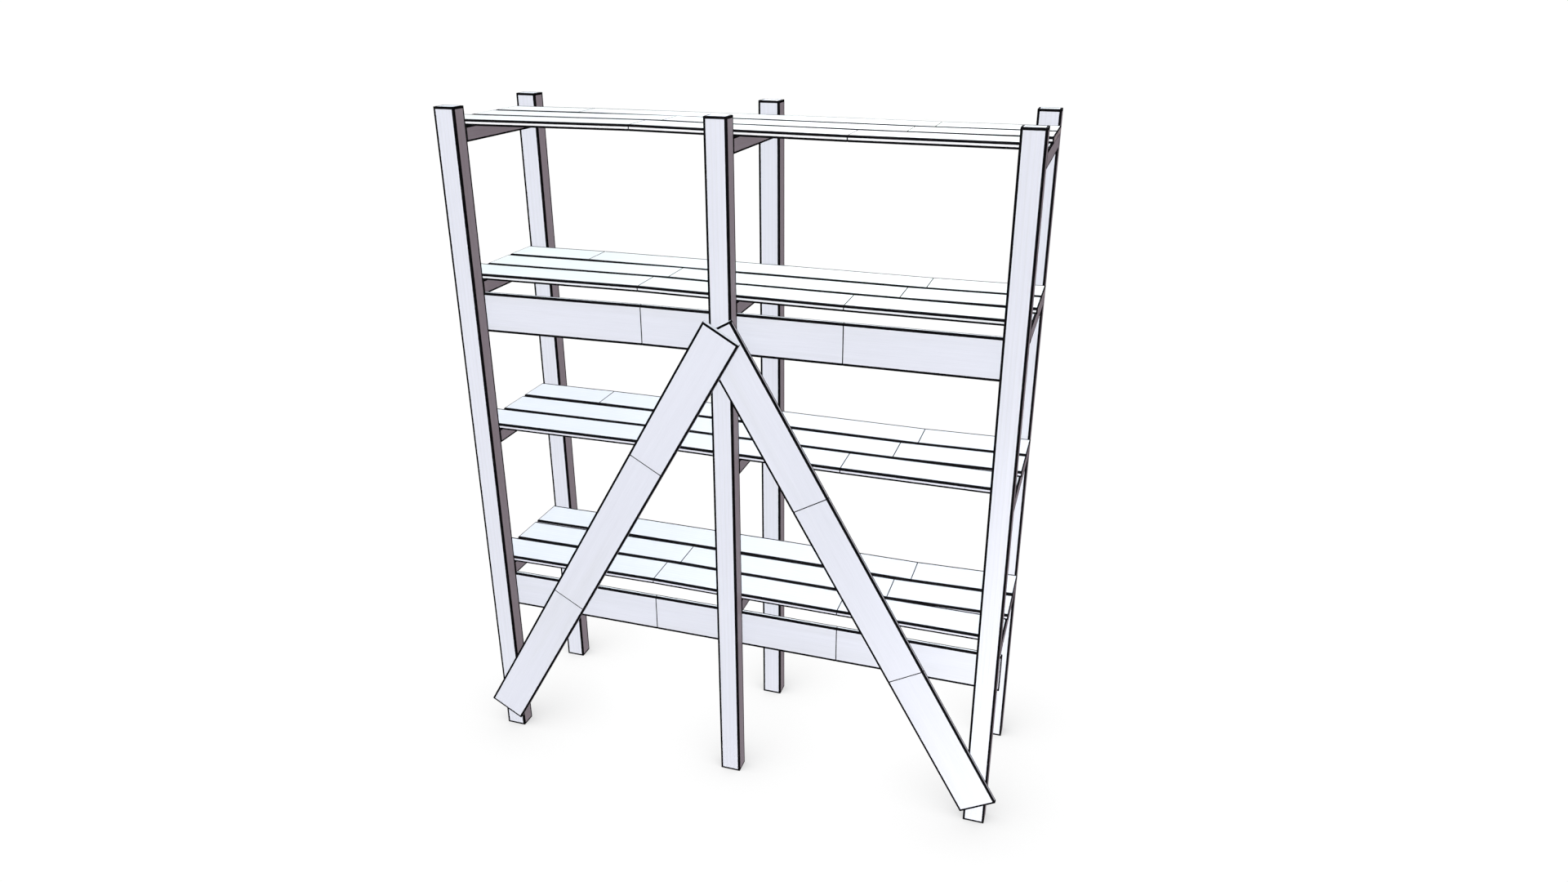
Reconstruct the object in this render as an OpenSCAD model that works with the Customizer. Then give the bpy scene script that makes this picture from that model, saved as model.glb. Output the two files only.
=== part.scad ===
// Six-post timber scaffold rack: four slatted decks on cross bearers,
// two front rails and two front diagonal braces.
// X runs along the rack, Y from the front to the back, Z is up.
// The origin is on the floor, below the middle of the whole rack.

/* [Overall] */
// Length of the frame over the outer faces of the end posts
frame_w = 1604; // [1504:10:1704]
// Depth of the frame over the front and back posts
frame_d = 473; // [472:1:520]
// Height of the posts
post_h = 2002; // [1992:5:2200]

/* [Posts] */
// Width of a post along the rack
post_w = 63; // [60:1:68]
// Depth of a post from front to back
post_d = 49; // [44:1:49]

/* [Decks] */
// Height of the top face of deck 1, the lowest
deck1_z = 621; // [615:1:640]
// Height of the top face of deck 2
deck2_z = 1078; // [1062:1:1090]
// Height of the top face of deck 3
deck3_z = 1540; // [1537:1:1560]
// Height of the top face of deck 4, the highest
deck4_z = 1966; // [1902:1:1972]
// Thickness of the planks
plank_t = 17; // [15:0.5:19]
// Thickness of the rails and braces
board_t = 14; // [12:0.5:16]
// Length of every board
board_len = 1604; // [1564:5:1604]
// Width of the front planks
front_plank_w = 116; // [105:1:118]
// Width of the middle planks
middle_plank_w = 118; // [105:1:120]
// Width of the back planks
back_plank_w = 120; // [110:1:120]
// How far the front planks sit towards the left end
front_plank_shift = 20; // [0:1:24]

/* [Bearers] */
// Height of a bearer, the crosspiece under the planks
bearer_h = 43; // [40:1:46]
// How much lower the right-hand bearers sit than the others
right_drop = 4; // [0:0.5:5]

/* [Rails and braces] */
// Height of a rail board and width of a brace board
rail_h = 117; // [105:1:120]
// Height of the top edge of the upper rail at the middle post
upper_rail_z = 1490; // [1480:1:1492]
// Height of the top edge of the lower rail at the middle post
lower_rail_z = 562; // [550:1:566]
// Slope of the left brace from the floor, in degrees
left_slope = 59.9; // [59.5:0.1:60.3]
// Slope of the right brace from the floor, in degrees
right_slope = 60.2; // [59.8:0.1:60.6]
// Distance of the left brace's lower end, on its centre line, from the left end of the frame
left_foot_x = 10; // [5:1:15]
// Distance of the right brace's lower end, on its centre line, from the right end of the frame
right_foot_x = 21; // [12:1:24]
// Height of the braces' lower ends, on their centre lines
brace_z = 68; // [66:1:78]

/* [Fixings] */
// Diameter of the dowels between bearers and posts
dowel_d = 10; // [8:1:12]
// Length of the dowels
dowel_len = 58; // [50:1:60]
// Shank diameter of the plank and rail screws
screw_d = 4; // [3.5:0.5:4.5]
// Shank diameter of the brace screws
brace_screw_d = 5; // [4.5:0.5:5.5]
// Width of the glue line where two lengths of a board are joined end to end
joint_w = 1.4; // [1:0.2:2]
// Depth of that glue line
joint_d = 0.8; // [0.4:0.1:1.2]

/* [Hidden] */

fit = 0.05;                 // clearance of a fixing all round, in its hole
far = frame_d - post_d;     // front face of the back posts
gap_y = 0.5;                // front planks stand this far behind the front posts

// Post centres along the rack
cols = [post_w/2, frame_w/2, frame_w - post_w/2];
// Deck heights
decks = [deck1_z, deck2_z, deck3_z, deck4_z];
// Height of the plank tops over each column, from the deck height
function drop(c) = c == 2 ? -right_drop : 0;

// The rack stands with the middle of its outer box over the origin.
// The outer corners of the two brace feet are the ends of the box, the front brace is its front.
left_reach = left_foot_x - sin(left_slope)*rail_h/2;
right_reach = frame_w - right_foot_x + sin(right_slope)*rail_h/2;
module placed() {
  translate([-(left_reach + right_reach)/2, -(frame_d - 2*board_t)/2, 0]) children();
}

white = [0.89, 0.90, 0.95];
pale = [0.95, 0.97, 0.98];
shade = [0.50, 0.46, 0.48];
zinc = [0.72, 0.71, 0.66];
beech = [0.80, 0.68, 0.50];

// ---------- fixings ----------
// Screw with its head's face at the origin, running along +Z; grow makes its hole
module screw_body(d, len, grow = 0) {
  r = d/2 + grow;
  hr = d + grow;
  translate([0, 0, -grow])
    rotate_extrude($fn = 48)
      polygon([[0, 0], [hr, 0], [hr, 0.4 + grow], [r, d*0.62 + 0.4], [r, len - 3 + grow], [0.4 + grow, len + 2*grow], [0, len + 2*grow]]);
}
module screw(d, len) {
  difference() {
    screw_body(d, len);
    // cross recess
    for (a = [0, 90]) rotate([0, 0, a]) translate([-d*0.55, -0.45, -1]) cube([d*1.1, 0.9, 2.3]);
  }
}
module dowel(grow = 0) {
  // lies along +Y, its middle at the origin
  ends = grow > 0 ? 1 : 0;
  rotate([-90, 0, 0]) {
    if (grow > 0)
      cylinder(h = dowel_len + 2*ends, r = dowel_d/2 + grow, center = true, $fn = 48);
    else
      rotate_extrude($fn = 48)
        polygon([[0, -dowel_len/2], [dowel_d/2 - 1, -dowel_len/2], [dowel_d/2, -dowel_len/2 + 1.5],
                 [dowel_d/2, dowel_len/2 - 1.5], [dowel_d/2 - 1, dowel_len/2], [0, dowel_len/2]]);
  }
}

function bearer_top(k, c) = decks[k] - plank_t + drop(c);
function bearer_mid(k, c) = bearer_top(k, c) - bearer_h/2;
dowel_dx = 14.5;
// Middle of a front and of a back dowel: 23 mm of it sits in the post
front_dowel_y = post_d - 23 + dowel_len/2;
back_dowel_y = far + 23 - dowel_len/2;

module dowels_at(c, k, y, grow = 0) {
  for (s = [-1, 1]) translate([cols[c] + s*dowel_dx, y, bearer_mid(k, c)]) dowel(grow);
}

// Plank screws stand in the bearers, head down
plank_screw_len = bearer_h + 11;
front_rows = [78, 136];
middle_rows = [202, 260];
back_rows = [326, 388];
rows = concat(front_rows, middle_rows, back_rows);
module plank_screws_at(c, k, ys, grow = 0) {
  for (y = ys) translate([cols[c], y, bearer_top(k, c) - bearer_h])
    if (grow > 0) screw_body(screw_d, plank_screw_len, grow); else rotate([0, 0, 20 + y]) screw(screw_d, plank_screw_len);
}

// Rail screws go forward through a rail into a front post
rail_screw_len = 36;
module rail_screws_at(c, z, grow = 0) {
  for (s = [-1, 1]) translate([cols[c] + s*18, post_d + board_t, z]) rotate([90, 0, 0])
    if (grow > 0) screw_body(screw_d, rail_screw_len, grow); else rotate([0, 0, 35*s]) screw(screw_d, rail_screw_len);
}
lower_rail_screw_z = lower_rail_z - 56;
upper_rail_screw_z = upper_rail_z - 66;

// Brace foot screws go forward through an end post into a brace
foot_screw_len = post_d + 9;
foot_spots = [[24, 112], [40, 168]];
module foot_screws_at(side, grow = 0) {
  for (p = foot_spots) translate([side == 0 ? p[0] : frame_w - p[0], post_d, p[1]]) rotate([90, 0, 0])
    if (grow > 0) screw_body(brace_screw_d, foot_screw_len, grow); else rotate([0, 0, p[0]]) screw(brace_screw_d, foot_screw_len);
}

// Brace head screws go forward through the rail, the middle post and the back brace into the front brace
head_screw_len = post_d + 2*board_t + 8;
head_spots = [1404, 1448];
module head_screws_at(grow = 0) {
  for (z = head_spots) translate([frame_w/2, post_d + board_t, z]) rotate([90, 0, 0])
    if (grow > 0) screw_body(brace_screw_d, head_screw_len, grow); else rotate([0, 0, z]) screw(brace_screw_d, head_screw_len);
}

// ---------- timbers ----------
module front_post(c) {
  color(white) placed() difference() {
    translate([cols[c] - post_w/2, 0, 0]) cube([post_w, post_d, post_h]);
    for (k = [0:3]) dowels_at(c, k, front_dowel_y, fit);
    rail_screws_at(c, lower_rail_screw_z, fit);
    rail_screws_at(c, upper_rail_screw_z, fit);
    if (c == 0) foot_screws_at(0, fit);
    if (c == 2) foot_screws_at(1, fit);
    if (c == 1) head_screws_at(fit);
  }
}
module back_post(c) {
  color(white) placed() difference() {
    translate([cols[c] - post_w/2, far, 0]) cube([post_w, post_d, post_h]);
    for (k = [0:3]) dowels_at(c, k, back_dowel_y, fit);
  }
}
// Highest point of the rail's top edge at a column
function rail_top(k, c) = k == 0 ? lower_rail_z + (c == 2 ? -1 : 0.6) : upper_rail_z + (c == 0 ? -4.3 : 0.2);
module bearer(k, c) {
  color(shade) placed() difference() {
    translate([cols[c] - post_w/2, post_d, bearer_top(k, c) - bearer_h]) cube([post_w, far - post_d, bearer_h]);
    // rebate that clears the top edge of the rail
    if (k == 0 || k == 2)
      translate([-1, post_d - 1, 0]) cube([frame_w + 2, board_t + 1.2, rail_top(k, c) + 0.3]);
    dowels_at(c, k, front_dowel_y, fit);
    dowels_at(c, k, back_dowel_y, fit);
    plank_screws_at(c, k, rows, fit);
  }
}

// Glue line round a board that lies along X, at x: a shallow square groove on all four faces
module glue_line(x, y0, y1, z0, z1) {
  difference() {
    translate([x - joint_w/2, y0 - 50, z0 - 50]) cube([joint_w, y1 - y0 + 100, z1 - z0 + 100]);
    translate([x - joint_w, y0 + joint_d, z0 + joint_d]) cube([2*joint_w, y1 - y0 - 2*joint_d, z1 - z0 - 2*joint_d]);
  }
}

// Height of a plank's top along the rack: flat over the bearers, and a little out of line at its end joints
function plank_rise(x0, x1, j1, j2) = [
  [x0, 0], [post_w, 0], [j1, 2.7*min(1, (j1 - post_w)/480)],
  [frame_w/2 - post_w/2, 0], [frame_w/2 + post_w/2, 0],
  [j2, -2.7*min(1, (j2 - frame_w/2)/300)], [frame_w - post_w, -right_drop], [x1, -right_drop]
];
function reversed(l) = [for (i = [len(l) - 1 : -1 : 0]) l[i]];

// Plank from its rise along the rack and its front edge along the rack
module plank(k, x0, w, j1, j2, edge) {
  x1 = x0 + board_len;
  rise = plank_rise(x0, x1, j1, j2);
  z = decks[k];
  y1 = edge[1][1];
  y2 = edge[2][1];
  difference() {
    intersection() {
      translate([0, frame_d, 0]) rotate([90, 0, 0]) linear_extrude(height = frame_d)
        polygon(concat([for (p = rise) [p[0], z + p[1]]], [for (p = reversed(rise)) [p[0], z + p[1] - plank_t]]));
      translate([0, 0, z - 100]) linear_extrude(height = 200)
        polygon(concat([for (p = edge) [p[0], p[1] + w]], reversed(edge)));
    }
    glue_line(j1, y1, y1 + w, z + rise[2][1] - plank_t, z + rise[2][1]);
    glue_line(j2, y2, y2 + w, z + rise[5][1] - plank_t, z + rise[5][1]);
    for (c = [0:2]) plank_screws_at(c, k, rows, fit);
  }
}

// Joints of the front, middle and back planks along the rack
front_joints = [544, 1126];
middle_joints = [584, 1248];
back_joints = [269, 1297];
module front_plank(k) {
  x0 = -front_plank_shift;
  y = post_d + gap_y;
  color(pale) placed() plank(k, x0, front_plank_w, front_joints[0], front_joints[1],
    [[x0, y], [front_joints[0], y + 0.3], [front_joints[1], y + 0.3], [x0 + board_len, y]]);
}
module middle_plank(k) {
  x0 = 3;
  color(pale) placed() plank(k, x0, middle_plank_w, middle_joints[0], middle_joints[1],
    [[x0, 170.5], [middle_joints[0], 168.5], [middle_joints[1], 167.8], [x0 + board_len, 180]]);
}
module back_plank(k) {
  x0 = 3;
  color(pale) placed() plank(k, x0, back_plank_w, back_joints[0], back_joints[1],
    [[x0, 297], [back_joints[0], 296.5], [back_joints[1], 290.5], [x0 + board_len, 303]]);
}

// Rail behind the front posts; edge is the line of its top edge
module rail(edge, screw_z, grow_heads) {
  difference() {
    translate([0, post_d + board_t, 0]) rotate([90, 0, 0]) linear_extrude(height = board_t)
      polygon(concat(edge, [for (p = reversed(edge)) [p[0], p[1] - rail_h]]));
    for (i = [1, 3]) glue_line(edge[i][0], post_d, post_d + board_t, edge[i][1] - rail_h, edge[i][1]);
    for (c = [0:2]) rail_screws_at(c, screw_z, fit);
    if (grow_heads) head_screws_at(fit);
  }
}
module lower_front_rail() {
  z = lower_rail_z;
  color(white) placed()
    rail([[5, z + 0.5], [550, z + 0.5], [frame_w/2, z], [1127, z - 1.5], [5 + board_len, z - 2.5]], lower_rail_screw_z, false);
}
module upper_front_rail() {
  z = upper_rail_z;
  color(white) placed()
    rail([[-10, z - 5], [550, z + 0.5], [frame_w/2, z], [1127, z], [board_len - 10, z - 0.5]], upper_rail_screw_z, true);
}

// A brace lies on the front of the posts. It is drawn along X from its lower end, then turned up.
// seat is how far its head stands off the middle post; the board springs over between its flat ends.
module brace(seat, joints) {
  s0 = 160;
  s1 = board_len - 170;
  back = [[0, 0], [s0, 0], [s1, -seat], [board_len, -seat]];
  function at(s) = s < s0 ? 0 : s > s1 ? -seat : -seat*(s - s0)/(s1 - s0);
  difference() {
    translate([0, 0, -rail_h/2]) linear_extrude(height = rail_h)
      polygon(concat(back, [for (p = reversed(back)) [p[0], p[1] - board_t]]));
    for (s = joints) glue_line(s, at(s) - board_t, at(s), -rail_h/2, rail_h/2);
  }
}
module left_brace() {
  color(white) placed() difference() {
    translate([left_foot_x, 0, brace_z]) rotate([0, -left_slope, 0]) brace(board_t, [548, 1126]);
    foot_screws_at(0, fit);
    head_screws_at(fit);
  }
}
module right_brace() {
  color(white) placed() difference() {
    translate([frame_w - right_foot_x, 0, brace_z]) rotate([0, right_slope - 180, 0]) brace(0, [472, 1052]);
    foot_screws_at(1, fit);
    head_screws_at(fit);
  }
}

// ---------- groups of fixings ----------
module front_bearer_dowels() {
  color(beech) placed() for (k = [0:3], c = [0:2]) dowels_at(c, k, front_dowel_y);
}
module back_bearer_dowels() {
  color(beech) placed() for (k = [0:3], c = [0:2]) dowels_at(c, k, back_dowel_y);
}
module deck_plank_screws(k) {
  color(zinc) placed() for (c = [0:2]) plank_screws_at(c, k, rows);
}
module rail_screws() {
  color(zinc) placed() for (c = [0:2]) {
    rail_screws_at(c, lower_rail_screw_z);
    rail_screws_at(c, upper_rail_screw_z);
  }
}
module brace_foot_screws() {
  color(zinc) placed() { foot_screws_at(0); foot_screws_at(1); }
}
module brace_head_screws() {
  color(zinc) placed() head_screws_at();
}

front_post(0);  // front_left_post
front_post(1);  // front_middle_post
front_post(2);  // front_right_post
back_post(0);  // back_left_post
back_post(1);  // back_middle_post
back_post(2);  // back_right_post
bearer(0, 0);  // deck1_left_bearer
bearer(0, 1);  // deck1_middle_bearer
bearer(0, 2);  // deck1_right_bearer
bearer(1, 0);  // deck2_left_bearer
bearer(1, 1);  // deck2_middle_bearer
bearer(1, 2);  // deck2_right_bearer
bearer(2, 0);  // deck3_left_bearer
bearer(2, 1);  // deck3_middle_bearer
bearer(2, 2);  // deck3_right_bearer
bearer(3, 0);  // deck4_left_bearer
bearer(3, 1);  // deck4_middle_bearer
bearer(3, 2);  // deck4_right_bearer
front_plank(0);  // deck1_front_plank
middle_plank(0);  // deck1_middle_plank
back_plank(0);  // deck1_back_plank
front_plank(1);  // deck2_front_plank
middle_plank(1);  // deck2_middle_plank
back_plank(1);  // deck2_back_plank
front_plank(2);  // deck3_front_plank
middle_plank(2);  // deck3_middle_plank
back_plank(2);  // deck3_back_plank
front_plank(3);  // deck4_front_plank
middle_plank(3);  // deck4_middle_plank
back_plank(3);  // deck4_back_plank
lower_front_rail();
upper_front_rail();
left_brace();
right_brace();
front_bearer_dowels();
back_bearer_dowels();
deck_plank_screws(0);  // deck1_plank_screws
deck_plank_screws(1);  // deck2_plank_screws
deck_plank_screws(2);  // deck3_plank_screws
deck_plank_screws(3);  // deck4_plank_screws
rail_screws();
brace_foot_screws();
brace_head_screws();
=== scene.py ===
import math
import random

import bmesh
import bpy
from mathutils import Matrix, Vector


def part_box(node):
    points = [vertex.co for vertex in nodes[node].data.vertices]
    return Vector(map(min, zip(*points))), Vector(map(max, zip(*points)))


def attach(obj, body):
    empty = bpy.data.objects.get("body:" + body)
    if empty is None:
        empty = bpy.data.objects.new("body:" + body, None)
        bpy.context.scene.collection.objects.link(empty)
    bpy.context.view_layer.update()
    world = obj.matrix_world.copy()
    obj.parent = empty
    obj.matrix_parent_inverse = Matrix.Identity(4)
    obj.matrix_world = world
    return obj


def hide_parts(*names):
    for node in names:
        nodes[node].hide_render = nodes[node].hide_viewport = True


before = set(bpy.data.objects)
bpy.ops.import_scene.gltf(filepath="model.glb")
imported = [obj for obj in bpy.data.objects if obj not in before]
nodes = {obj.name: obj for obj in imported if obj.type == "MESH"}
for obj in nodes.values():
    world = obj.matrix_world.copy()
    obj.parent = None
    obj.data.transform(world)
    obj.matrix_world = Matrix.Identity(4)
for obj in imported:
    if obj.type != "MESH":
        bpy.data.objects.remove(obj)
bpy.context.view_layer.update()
MM = 0.001

# ---------------------------------------------------------------- timbers: sizes in mm, as in the CAD model
FRAME_W, FRAME_D, POST_H = 1604.0, 473.0, 2002.0
POST_W, POST_D = 63.0, 49.0
PLANK_T, BOARD_T, BOARD_L = 17.0, 14.0, 1604.0
RAIL_H, BEARER_H, DROP = 117.0, 43.0, 4.0
DECKS = [621.0, 1078.0, 1540.0, 1966.0]
FAR = FRAME_D - POST_D
COLS = {"left": POST_W / 2, "middle": FRAME_W / 2, "right": FRAME_W - POST_W / 2}

lo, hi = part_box("front_left_post")
ORIGIN = Vector((lo.x, lo.y, 0.0))          # the front left post's corner: x = 0, y = 0 of the numbers here


# ---------------------------------------------------------------- materials
def new_material(name):
    m = bpy.data.materials.new(name)
    m.use_nodes = True
    nt = m.node_tree
    nt.nodes.clear()
    out = nt.nodes.new("ShaderNodeOutputMaterial")
    bsdf = nt.nodes.new("ShaderNodeBsdfPrincipled")
    nt.links.new(bsdf.outputs["BSDF"], out.inputs["Surface"])
    return m, nt, bsdf


def node(nt, kind, **sets):
    n = nt.nodes.new(kind)
    for k, v in sets.items():
        if k in n.inputs:
            n.inputs[k].default_value = v
        else:
            setattr(n, k, v)
    return n


def math_node(nt, op, a, b=None, clamp=False):
    n = nt.nodes.new("ShaderNodeMath")
    n.operation = op
    n.use_clamp = clamp
    for i, x in enumerate((a, b)):
        if x is None:
            continue
        if isinstance(x, (int, float)):
            n.inputs[i].default_value = x
        else:
            nt.links.new(x, n.inputs[i])
    return n.outputs[0]


def ramp(nt, fac, stops):
    r = nt.nodes.new("ShaderNodeValToRGB")
    els = r.color_ramp.elements
    els[0].position, els[0].color = stops[0][0], (*stops[0][1], 1)
    els[1].position, els[1].color = stops[1][0], (*stops[1][1], 1)
    for p, c in stops[2:]:
        e = els.new(p)
        e.color = (*c, 1)
    nt.links.new(fac, r.inputs["Fac"])
    return r.outputs["Color"]


def mix_color(nt, fac, a, b, blend="MIX"):
    m = nt.nodes.new("ShaderNodeMix")
    m.data_type = "RGBA"
    m.blend_type = blend
    for key, x in ((0, fac), (6, a), (7, b)):
        if isinstance(x, (int, float)):
            m.inputs[key].default_value = x
        elif isinstance(x, (tuple, list)):
            m.inputs[key].default_value = (*x, 1)
        else:
            nt.links.new(x, m.inputs[key])
    return m.outputs[2]


def scaled_coords(nt, scale):
    tc = nt.nodes.new("ShaderNodeTexCoord")
    mp = nt.nodes.new("ShaderNodeMapping")
    mp.inputs["Scale"].default_value = scale
    nt.links.new(tc.outputs["Object"], mp.inputs["Vector"])
    return mp.outputs["Vector"]


def painted_timber(name, tint, grain=1.0, rough=0.52):
    """Thin pale wash over planed softwood. The grain runs along the piece's own X."""
    m, nt, bsdf = new_material(name)
    L = nt.links
    # long soft streaks of the early and late wood, distorted a little across the board
    streak = node(nt, "ShaderNodeTexNoise", Scale=1.0, Detail=5.0, Roughness=0.62, Distortion=0.35)
    L.new(scaled_coords(nt, (2.2, 95.0, 95.0)), streak.inputs["Vector"])
    fibre = node(nt, "ShaderNodeTexNoise", Scale=1.0, Detail=3.0, Roughness=0.6)
    L.new(scaled_coords(nt, (14.0, 620.0, 620.0)), fibre.inputs["Vector"])
    cloud = node(nt, "ShaderNodeTexNoise", Scale=1.0, Detail=3.0, Roughness=0.5)
    L.new(scaled_coords(nt, (3.0, 9.0, 9.0)), cloud.inputs["Vector"])
    rings = node(nt, "ShaderNodeTexWave", Scale=1.0, Distortion=5.0, Detail=3.0)
    rings.wave_type = "BANDS"
    rings.bands_direction = "Y"
    rings.inputs["Detail Scale"].default_value = 0.8
    L.new(scaled_coords(nt, (0.55, 26.0, 20.0)), rings.inputs["Vector"])

    g1 = math_node(nt, "MULTIPLY", math_node(nt, "SUBTRACT", streak.outputs["Fac"], 0.5), 0.085 * grain)
    g2 = math_node(nt, "MULTIPLY", math_node(nt, "SUBTRACT", fibre.outputs["Fac"], 0.5), 0.10 * grain)
    g3 = math_node(nt, "MULTIPLY", math_node(nt, "SUBTRACT", cloud.outputs["Fac"], 0.5), 0.060 * grain)
    late = math_node(nt, "POWER", rings.outputs["Fac"], 4.0)
    g4 = math_node(nt, "MULTIPLY", late, -0.030 * grain)
    total = math_node(nt, "ADD", math_node(nt, "ADD", g1, g2), math_node(nt, "ADD", g3, g4))
    value = math_node(nt, "ADD", total, 1.0)
    comb = nt.nodes.new("ShaderNodeCombineColor")
    # the wash thins over the late wood, which lets a little of the warm timber through
    warm = math_node(nt, "MULTIPLY", late, 0.012 * grain)
    for i, c in enumerate(tint):
        v = math_node(nt, "MULTIPLY", value, c)
        if i == 2:
            v = math_node(nt, "SUBTRACT", v, warm)
        L.new(v, comb.inputs[i])
    L.new(comb.outputs[0], bsdf.inputs["Base Color"])
    r = math_node(nt, "ADD", math_node(nt, "MULTIPLY", math_node(nt, "SUBTRACT", streak.outputs["Fac"], 0.5), 0.25), rough)
    L.new(r, bsdf.inputs["Roughness"])
    bsdf.inputs["Specular IOR Level"].default_value = 0.12
    h = math_node(nt, "ADD", math_node(nt, "MULTIPLY", streak.outputs["Fac"], 0.7), math_node(nt, "MULTIPLY", fibre.outputs["Fac"], 0.5))
    h = math_node(nt, "SUBTRACT", h, math_node(nt, "MULTIPLY", late, 0.35))
    bump = node(nt, "ShaderNodeBump", Strength=0.45, Distance=0.0004)
    L.new(h, bump.inputs["Height"])
    L.new(bump.outputs["Normal"], bsdf.inputs["Normal"])
    return m


def arris_stain(name):
    """Near-black edge stain, worn to a lighter brown in places."""
    m, nt, bsdf = new_material(name)
    L = nt.links
    wear = node(nt, "ShaderNodeTexNoise", Scale=1.0, Detail=4.0, Roughness=0.65)
    L.new(scaled_coords(nt, (30.0, 160.0, 160.0)), wear.inputs["Vector"])
    col = ramp(nt, wear.outputs["Fac"], [(0.50, (0.0025, 0.0025, 0.003)), (0.80, (0.014, 0.012, 0.011))])
    L.new(col, bsdf.inputs["Base Color"])
    r = math_node(nt, "ADD", math_node(nt, "MULTIPLY", wear.outputs["Fac"], 0.3), 0.55)
    L.new(r, bsdf.inputs["Roughness"])
    bsdf.inputs["Specular IOR Level"].default_value = 0.03
    bump = node(nt, "ShaderNodeBump", Strength=0.3, Distance=0.0003)
    L.new(wear.outputs["Fac"], bump.inputs["Height"])
    L.new(bump.outputs["Normal"], bsdf.inputs["Normal"])
    return m


def zinc_metal(name):
    m, nt, bsdf = new_material(name)
    L = nt.links
    n = node(nt, "ShaderNodeTexNoise", Scale=1.0, Detail=4.0, Roughness=0.6)
    L.new(scaled_coords(nt, (420.0, 420.0, 420.0)), n.inputs["Vector"])
    col = ramp(nt, n.outputs["Fac"], [(0.30, (0.50, 0.49, 0.44)), (0.70, (0.68, 0.67, 0.60))])
    L.new(col, bsdf.inputs["Base Color"])
    bsdf.inputs["Metallic"].default_value = 1.0
    r = math_node(nt, "ADD", math_node(nt, "MULTIPLY", n.outputs["Fac"], 0.25), 0.25)
    L.new(r, bsdf.inputs["Roughness"])
    bump = node(nt, "ShaderNodeBump", Strength=0.2, Distance=0.0001)
    L.new(n.outputs["Fac"], bump.inputs["Height"])
    L.new(bump.outputs["Normal"], bsdf.inputs["Normal"])
    return m


def bare_beech(name):
    m, nt, bsdf = new_material(name)
    L = nt.links
    n = node(nt, "ShaderNodeTexNoise", Scale=1.0, Detail=5.0, Roughness=0.6)
    L.new(scaled_coords(nt, (500.0, 25.0, 500.0)), n.inputs["Vector"])
    col = ramp(nt, n.outputs["Fac"], [(0.30, (0.50, 0.33, 0.18)), (0.70, (0.68, 0.49, 0.30))])
    L.new(col, bsdf.inputs["Base Color"])
    r = math_node(nt, "ADD", math_node(nt, "MULTIPLY", n.outputs["Fac"], 0.2), 0.45)
    L.new(r, bsdf.inputs["Roughness"])
    bump = node(nt, "ShaderNodeBump", Strength=0.3, Distance=0.0002)
    L.new(n.outputs["Fac"], bump.inputs["Height"])
    L.new(bump.outputs["Normal"], bsdf.inputs["Normal"])
    return m


POST_MAT = painted_timber("pale_post_timber", (0.80, 0.81, 0.84))
BEARER_MAT = painted_timber("pale_bearer_timber", (0.79, 0.80, 0.83), grain=1.2)
# the upper decks' planks are coloured whiter: painted light, standing in for the brighter light that falls on the
# higher decks
PLANK_MATS_WITH_PAINTED_DECK_LIGHT = [painted_timber(f"pale_plank_timber_painted_deck_light_{k + 1}", tint, grain=0.9) for k, tint in enumerate(
    ((0.805, 0.805, 0.85), (0.81, 0.81, 0.85), (0.87, 0.885, 0.87), (0.95, 0.945, 0.91)))]
RAIL_MAT = painted_timber("pale_rail_timber", (0.80, 0.81, 0.84))
BRACE_MAT = painted_timber("pale_brace_timber", (0.80, 0.81, 0.84))
DARK = arris_stain("dark_arris_stain")
ZINC = zinc_metal("zinc_screw_metal")
BEECH = bare_beech("bare_beech_wood")


# ---------------------------------------------------------------- boards
def piecewise(points):
    def f(x):
        if x <= points[0][0]:
            return points[0][1]
        for (xa, ya), (xb, yb) in zip(points, points[1:]):
            if x <= xb:
                return ya + (yb - ya) * (x - xa) / (xb - xa) if xb > xa else yb
        return points[-1][1]
    return f


def merged(values, gap=0.05):
    out = []
    for v in sorted(values):
        if not out or v - out[-1] > gap:
            out.append(v)
    return out


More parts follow.
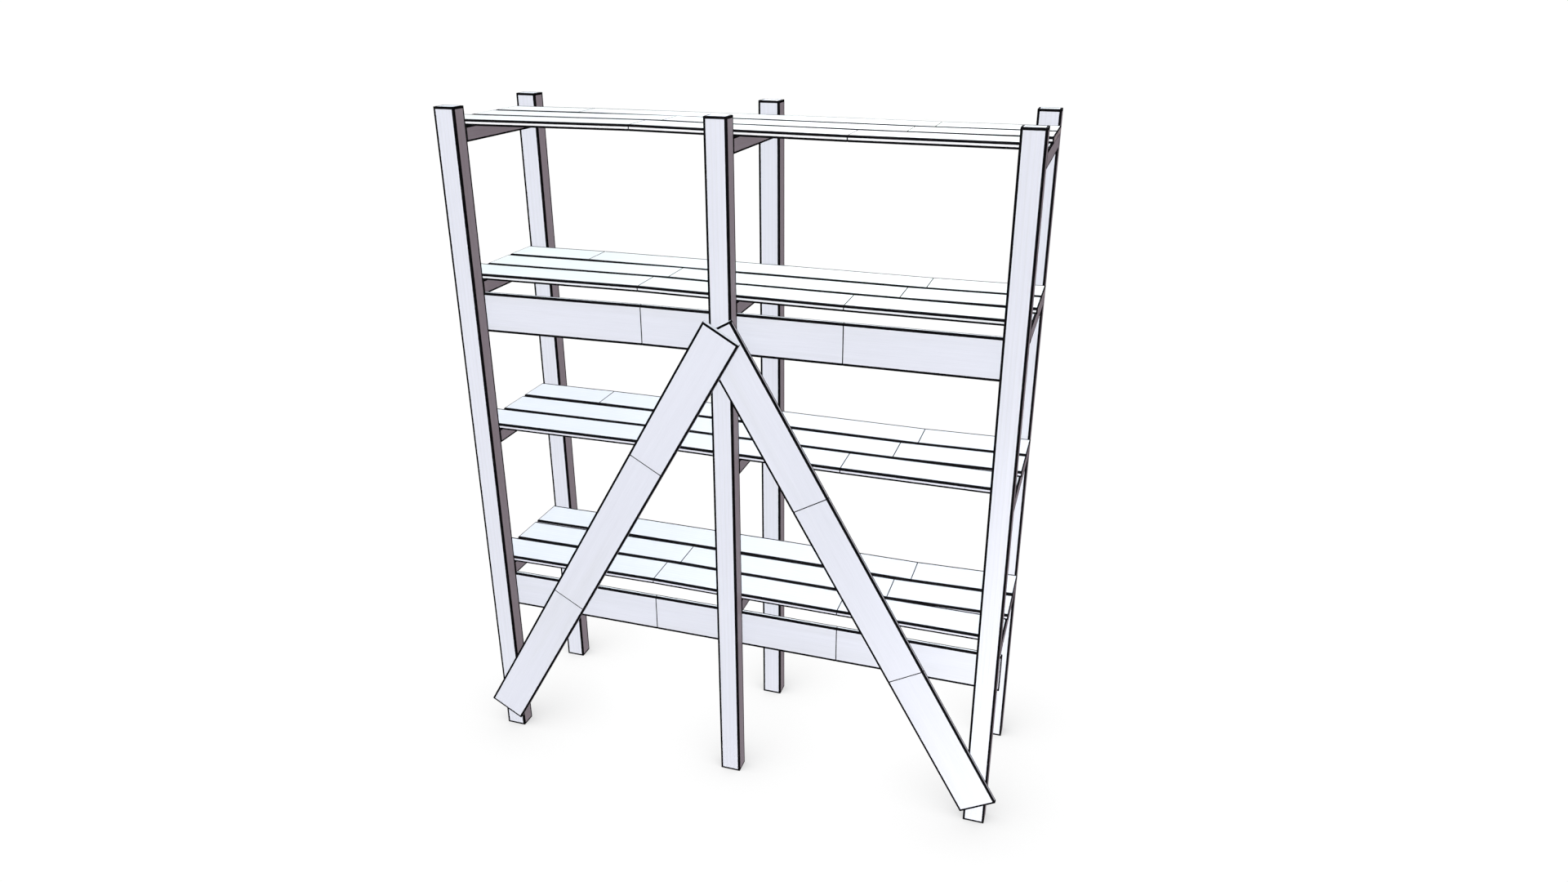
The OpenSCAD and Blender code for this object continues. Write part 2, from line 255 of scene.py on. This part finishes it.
def board(name, size, matrix, face_mat, start=(0.0, 0.0, 0.0), bend=None, kinks=(), seams=(),
          band=3.4, end_band=3.0, thin_band=None, cap_band=None, inset=(0.3, 0.3), r=1.1, step=40.0, rebate=0.0):
    """One timber as a closed mesh. size is along its own X (the grain), Y and Z, in mm.
    Its arrises are eased to radius r and stained dark over a band on each face. A seam is a dark V groove all
    round, where two lengths are joined end to end. bend(x) gives how far the section is moved in Y and Z at x.
    inset is how far the two ends stand in from the CAD solid; the sides stand in 0.3 mm.
    rebate is the height of the notch at the near end of the low edge."""
    side = 0.3
    length, w, t = size
    rnd = random.Random(name)
    x0, x1 = inset[0], length - inset[1]
    y0, y1, z0, z1 = side, w - side, side, t - side
    thin = band if thin_band is None else thin_band
    cap = thin if cap_band is None else cap_band
    # the band on a face is narrower where that face is the board's narrow edge
    by = thin if w < 20 else band
    bz = thin if t < 20 else band
    g = 1.5
    xs = [x0, x0 + r, x0 + end_band, x1 - end_band, x1 - r, x1]
    n = int((x1 - x0) / step)
    xs += [x0 + (x1 - x0) * i / n for i in range(1, n)]
    xs += [k for k in kinks if x0 + end_band < k < x1 - end_band]
    # keep the even stations off the seams
    xs = [x for x in xs if all(abs(x - s) > 3 * g for s in seams)]
    for s in seams:
        xs += [s - g, s, s + g]
    if rebate:
        xs = [x for x in xs if not 6 < x < 30] + [BOARD_T + 0.5, BOARD_T + 0.8, BOARD_T + 5.0]
    xs = merged(xs, 0.2)
    ys = merged([y0, y0 + r, y0 + by, (y0 + y1) / 2, y1 - by, y1 - r, y1])
    zs = merged([z0, z0 + r, z0 + bz, (z0 + z1) / 2, z1 - bz, z1 - r, z1])
    ny, nz = len(ys), len(zs)
    ring = [(i, 0) for i in range(ny)] + [(ny - 1, j) for j in range(1, nz)]
    ring += [(i, nz - 1) for i in range(ny - 2, -1, -1)] + [(0, j) for j in range(nz - 2, 0, -1)]

    def place(x, y, z):
        q = Vector((min(max(x, x0 + r), x1 - r), min(max(y, y0 + r), y1 - r), min(max(z, z0 + r), z1 - r)))
        d = Vector((x, y, z)) - q
        if d.length > 1e-9:
            d = d.normalized() * r
        p = q + d
        for s in seams:
            if abs(x - s) < 0.01:
                p.y = min(max(p.y, y0 + 0.9), y1 - 0.9)
                p.z = min(max(p.z, z0 + 0.9), z1 - 0.9)
        if rebate and x < BOARD_T + 0.6:
            # everything below the notch is lifted to its top face
            p.y = max(p.y, rebate) if y > rebate + 1 else rebate + 0.2 + 0.1 * y / max(y1, 1)
        if bend:
            dy, dz = bend(p.x + start[0])
            p.y += dy
            p.z += dz
        return p

    # the local origin is shifted, so that each board shows another part of the grain
    shift = Vector((rnd.uniform(2, 30), rnd.uniform(1, 9), rnd.uniform(1, 9)))
    shift = Vector([round(c, 3) for c in shift])
    bm = bmesh.new()

    def vert(x, y, z):
        p = place(x, y, z) + Vector(start)
        return bm.verts.new(p * MM + shift)

    rings = [[vert(x, ys[i], zs[j]) for i, j in ring] for x in xs]
    dark_i, face_i = 1, 0

    def in_band(a, b, lo_, hi_, width):
        return b <= lo_ + width + 0.02 or a >= hi_ - width - 0.02

    for k in range(len(xs) - 1):
        a, b = xs[k], xs[k + 1]
        end = in_band(a, b, x0, x1, end_band)
        seam = any(s - g - 0.01 <= a and b <= s + g + 0.01 for s in seams)
        for j in range(len(ring)):
            j2 = (j + 1) % len(ring)
            p, q = ring[j], ring[j2]
            f = bm.faces.new((rings[k][j], rings[k][j2], rings[k + 1][j2], rings[k + 1][j]))
            if p[1] == q[1]:
                dark = in_band(min(ys[p[0]], ys[q[0]]), max(ys[p[0]], ys[q[0]]), y0, y1, by)
            else:
                dark = in_band(min(zs[p[1]], zs[q[1]]), max(zs[p[1]], zs[q[1]]), z0, z1, bz)
            f.material_index = dark_i if (dark or end or seam) else face_i
    for k, x in ((0, x0), (len(xs) - 1, x1)):
        grid = {}
        for (i, j), v in zip(ring, rings[k]):
            grid[i, j] = v
        for i in range(1, ny - 1):
            for j in range(1, nz - 1):
                grid[i, j] = vert(x, ys[i], zs[j])
        for i in range(ny - 1):
            for j in range(nz - 1):
                f = bm.faces.new((grid[i, j], grid[i + 1, j], grid[i + 1, j + 1], grid[i, j + 1]))
                dark = in_band(ys[i], ys[i + 1], y0, y1, min(by, cap)) or in_band(zs[j], zs[j + 1], z0, z1, min(bz, cap))
                f.material_index = dark_i if dark else face_i
    bmesh.ops.recalc_face_normals(bm, faces=bm.faces)
    mesh = bpy.data.meshes.new(name)
    bm.to_mesh(mesh)
    bm.free()
    mesh.materials.append(face_mat)
    mesh.materials.append(DARK)
    o = bpy.data.objects.new(name, mesh)
    bpy.context.scene.collection.objects.link(o)
    o.matrix_world = Matrix.Translation(ORIGIN) @ matrix @ Matrix.Translation(-shift)
    bpy.context.view_layer.update()
    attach(o, "root")
    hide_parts(name.replace("board_", ""))
    # the piece has to fill its CAD solid's box
    a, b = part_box(name.replace("board_", ""))
    pts = [o.matrix_world @ v.co for v in mesh.vertices]
    for c in range(3):
        low, high = min(p[c] for p in pts), max(p[c] for p in pts)
        if abs(low - a[c]) > 0.0016 or abs(high - b[c]) > 0.0016:
            print("BOX OFF", name, "xyz"[c], round(low * 1000, 2), round(a[c] * 1000, 2), round(high * 1000, 2), round(b[c] * 1000, 2))
    return o


def at(x, y, z):
    return Matrix.Translation(Vector((x, y, z)) * MM)


def axes(ex, ey, ez):
    m = Matrix.Identity(4)
    for i, e in enumerate((ex, ey, ez)):
        for j in range(3):
            m[j][i] = e[j]
    return m


UPRIGHT = axes((0, 0, 1), (1, 0, 0), (0, 1, 0))
DEEP = axes((0, 1, 0), (0, 0, 1), (1, 0, 0))

for side, cx in COLS.items():
    for row, y in (("front", 0.0), ("back", FAR)):
        board(f"board_{row}_{side}_post", (POST_H, POST_W, POST_D), at(cx - POST_W / 2, y, 0) @ UPRIGHT, POST_MAT,
              inset=(0.0, 0.0), band=6.3, end_band=6.6, step=80.0)

rail_tops = {0: {"left": 562.6, "middle": 562.6, "right": 561.0}, 2: {"left": 1485.7, "middle": 1490.2, "right": 1490.2}}
for k, z in enumerate(DECKS):
    for side, cx in COLS.items():
        top = z - PLANK_T - (DROP if side == "right" else 0.0)
        board(f"board_deck{k + 1}_{side}_bearer", (FAR - POST_D, BEARER_H, POST_W),
              at(cx - POST_W / 2, POST_D, top - BEARER_H) @ DEEP, BEARER_MAT, band=5.2, step=50.0,
              rebate=rail_tops[k][side] - (top - BEARER_H) + 0.3 if k in (0, 2) else 0.0)


def plank_rise(x0, x1, j1, j2):
    return [(x0, 0.0), (POST_W, 0.0), (j1, 2.7 * min(1, (j1 - POST_W) / 480)),
            (FRAME_W / 2 - POST_W / 2, 0.0), (FRAME_W / 2 + POST_W / 2, 0.0),
            (j2, -2.7 * min(1, (j2 - FRAME_W / 2) / 300)), (FRAME_W - POST_W, -DROP), (x1, -DROP)]


# the highest decks have the broadest stain along their arrises
PLANK_BANDS = [7.2, 7.4, 8.2, 10.5]
PLANKS = {
    "front": (-20.0, 116.0, (544.0, 1126.0), (49.5, 49.8, 49.8, 49.5)),
    "middle": (3.0, 118.0, (584.0, 1248.0), (170.5, 168.5, 167.8, 180.0)),
    "back": (3.0, 120.0, (269.0, 1297.0), (297.0, 296.5, 290.5, 303.0)),
}
for k, z in enumerate(DECKS):
    for row, (x0, w, joints, edge) in PLANKS.items():
        rise = plank_rise(x0, x0 + BOARD_L, *joints)
        fz = piecewise(rise)
        fy = piecewise(list(zip((x0, *joints, x0 + BOARD_L), edge)))
        board(f"board_deck{k + 1}_{row}_plank", (BOARD_L, w, PLANK_T), at(0, 0, z - PLANK_T), PLANK_MATS_WITH_PAINTED_DECK_LIGHT[k],
              start=(x0, 0.0, 0.0), bend=lambda x, fy=fy, fz=fz: (fy(x), fz(x)),
              kinks=[p[0] - x0 for p in rise] + [j - x0 for j in joints], seams=[j - x0 for j in joints],
              band=PLANK_BANDS[k], end_band=3.6, thin_band=5.7, cap_band=4.2, r=1.8)

for name, x0, z, lift in (("lower", 5.0, 562.0, (0.5, 0.5, 0.0, -1.5, -2.5)),
                          ("upper", -10.0, 1490.0, (-5.0, 0.5, 0.0, 0.0, -0.5))):
    stations = (x0, 550.0, FRAME_W / 2, 1127.0, x0 + BOARD_L)
    f = piecewise(list(zip(stations, lift)))
    board(f"board_{name}_front_rail", (BOARD_L, BOARD_T, RAIL_H), at(0, POST_D, z - RAIL_H), RAIL_MAT,
          start=(x0, 0.0, 0.0), bend=lambda x, f=f: (0.0, f(x)), kinks=[s - x0 for s in stations[1:4]],
          seams=[550.0 - x0, 1127.0 - x0], band=7.0, end_band=3.6, thin_band=4.5, cap_band=3.8)


def brace(name, matrix, seat, joints):
    s0, s1 = 160.0, BOARD_L - 170.0
    f = piecewise([(0.0, 0.0), (s0, 0.0), (s1, -seat), (BOARD_L, -seat)])
    board(name, (BOARD_L, BOARD_T, RAIL_H), matrix, BRACE_MAT, start=(0.0, -BOARD_T, -RAIL_H / 2),
          bend=lambda x: (f(x), 0.0), kinks=[s0, s1], seams=joints, band=6.4, end_band=6.4, thin_band=4.4, cap_band=3.6)


def turned(degrees):
    return Matrix.Rotation(math.radians(degrees), 4, "Y")


brace("board_left_brace", at(10.0, 0, 68.0) @ turned(-59.9), BOARD_T, [548.0, 1126.0])
brace("board_right_brace", at(FRAME_W - 21.0, 0, 68.0) @ turned(60.2 - 180.0), 0.0, [472.0, 1052.0])

# ---------------------------------------------------------------- fixings keep their CAD solids
for n, o in nodes.items():
    if "screws" in n or "dowels" in n:
        o.data.materials.clear()
        o.data.materials.append(BEECH if "dowels" in n else ZINC)

# ---------------------------------------------------------------- floor
bm = bmesh.new()
bmesh.ops.create_grid(bm, x_segments=1, y_segments=1, size=600.0)
fm = bpy.data.meshes.new("floor")
bm.to_mesh(fm)
bm.free()
floor = bpy.data.objects.new("floor", fm)
bpy.context.scene.collection.objects.link(floor)
m = bpy.data.materials.new("white_floor_painted_contact_shade")
m.use_nodes = True
nt = m.node_tree
nt.nodes.clear()
out = nt.nodes.new("ShaderNodeOutputMaterial")
em = nt.nodes.new("ShaderNodeEmission")
# ambient occlusion darkens the floor's glow beside the rack's feet: a painted contact shadow, not cast by any lamp. The
# occlusion normal leans toward the front, which moves the painted shadow behind the feet.
ao = nt.nodes.new("ShaderNodeAmbientOcclusion")
ao.samples = 16
ao.inputs["Distance"].default_value = 0.34
tilt = nt.nodes.new("ShaderNodeCombineXYZ")
tilt.inputs[1].default_value = -0.45
tilt.inputs[2].default_value = 0.89
nt.links.new(tilt.outputs[0], ao.inputs["Normal"])
soft = math_node(nt, "POWER", ao.outputs["AO"], 1.1)
nt.links.new(ramp(nt, soft, [(0.0, (0.40, 0.40, 0.41)), (1.0, (1.0, 1.0, 1.0))]), em.inputs["Color"])
em.inputs["Strength"].default_value = 1.02
nt.links.new(em.outputs[0], out.inputs["Surface"])
fm.materials.append(m)
floor.visible_diffuse = False
floor.visible_glossy = False
floor.visible_shadow = False

# ---------------------------------------------------------------- light
def sun(name, toward, energy, color, shadow=False, angle=20.0):
    d = bpy.data.lights.new(name, "SUN")
    d.energy = energy
    d.color = color
    d.angle = math.radians(angle)
    d.use_shadow = shadow
    if hasattr(d, "cycles") and hasattr(d.cycles, "cast_shadow"):
        d.cycles.cast_shadow = shadow
    o = bpy.data.objects.new(name, d)
    o.rotation_euler = Vector(toward).to_track_quat("Z", "Y").to_euler()
    bpy.context.scene.collection.objects.link(o)
    return o


sun("front_fill", (-0.30, -0.92, 0.20), 2.97, (0.920, 0.930, 1.0))
sun("top_fill", (-0.25, -0.10, 1.0), 3.20, (0.850, 0.936, 1.0))
sun("right_fill", (1.0, 0.0, 0.0), 0.605, (1.0, 0.79, 0.89))
sun("back_fill", (-0.25, 0.95, 0.0), 2.3, (0.97, 0.98, 1.0))
sun("under_fill", (0.0, 0.0, -1.0), 1.1, (0.97, 0.97, 1.0))


def spot(name, place, aim, energy, degrees):
    """A wide soft pool of light without shadows."""
    d = bpy.data.lights.new(name, "SPOT")
    d.energy = energy
    d.spot_size = math.radians(degrees)
    d.spot_blend = 1.0
    d.shadow_soft_size = 0.3
    d.use_shadow = False
    if hasattr(d, "cycles") and hasattr(d.cycles, "cast_shadow"):
        d.cycles.cast_shadow = False
    o = bpy.data.objects.new(name, d)
    o.location = ORIGIN + Vector(place)
    o.rotation_euler = (Vector(place) - Vector(aim)).to_track_quat("Z", "Y").to_euler()
    bpy.context.scene.collection.objects.link(o)
    return o


spot("low_right_pool", (1.3, -4.0, 0.6), (2.876, 0.0, 0.177), 400.0, 49.5)
spot("high_right_pool", (1.55, 0.2, 7.0), (1.55, 0.2, 0.0), 260.0, 22.0)
spot("high_left_pool", (0.35, 0.2, 4.6), (0.35, 0.2, 0.0), 7.0, 60.0)

world = bpy.data.worlds.new("studio")
bpy.context.scene.world = world
world.use_nodes = True
wn = world.node_tree
wn.nodes.clear()
wo = wn.nodes.new("ShaderNodeOutputWorld")
seen = wn.nodes.new("ShaderNodeBackground")
seen.inputs["Color"].default_value = (1, 1, 1, 1)
seen.inputs["Strength"].default_value = 1.0
lit = wn.nodes.new("ShaderNodeBackground")
lit.inputs["Color"].default_value = (1.0, 0.90, 0.93, 1)
lit.inputs["Strength"].default_value = 0.08
lp = wn.nodes.new("ShaderNodeLightPath")
mx = wn.nodes.new("ShaderNodeMixShader")
wn.links.new(lp.outputs["Is Camera Ray"], mx.inputs[0])
wn.links.new(lit.outputs[0], mx.inputs[1])
wn.links.new(seen.outputs[0], mx.inputs[2])
wn.links.new(mx.outputs[0], wo.inputs["Surface"])

# ---------------------------------------------------------------- camera
cam = bpy.data.cameras.new("camera")
cam.sensor_fit = "HORIZONTAL"
cam.sensor_width = 36.0
cam.lens = 36.0 * 1303.33 / 1920.0
cam.clip_start = 0.05
cam.clip_end = 3000.0
co = bpy.data.objects.new("camera", cam)
co.location = ORIGIN + Vector((1.7815, -2.5388, 2.2877))
co.rotation_euler = (math.radians(90.0 - 22.9696), 0.0, math.radians(17.5056))
bpy.context.scene.collection.objects.link(co)
bpy.context.scene.camera = co
bpy.context.scene.view_settings.view_transform = "Standard"
bpy.context.scene.cycles.diffuse_bounces = 0
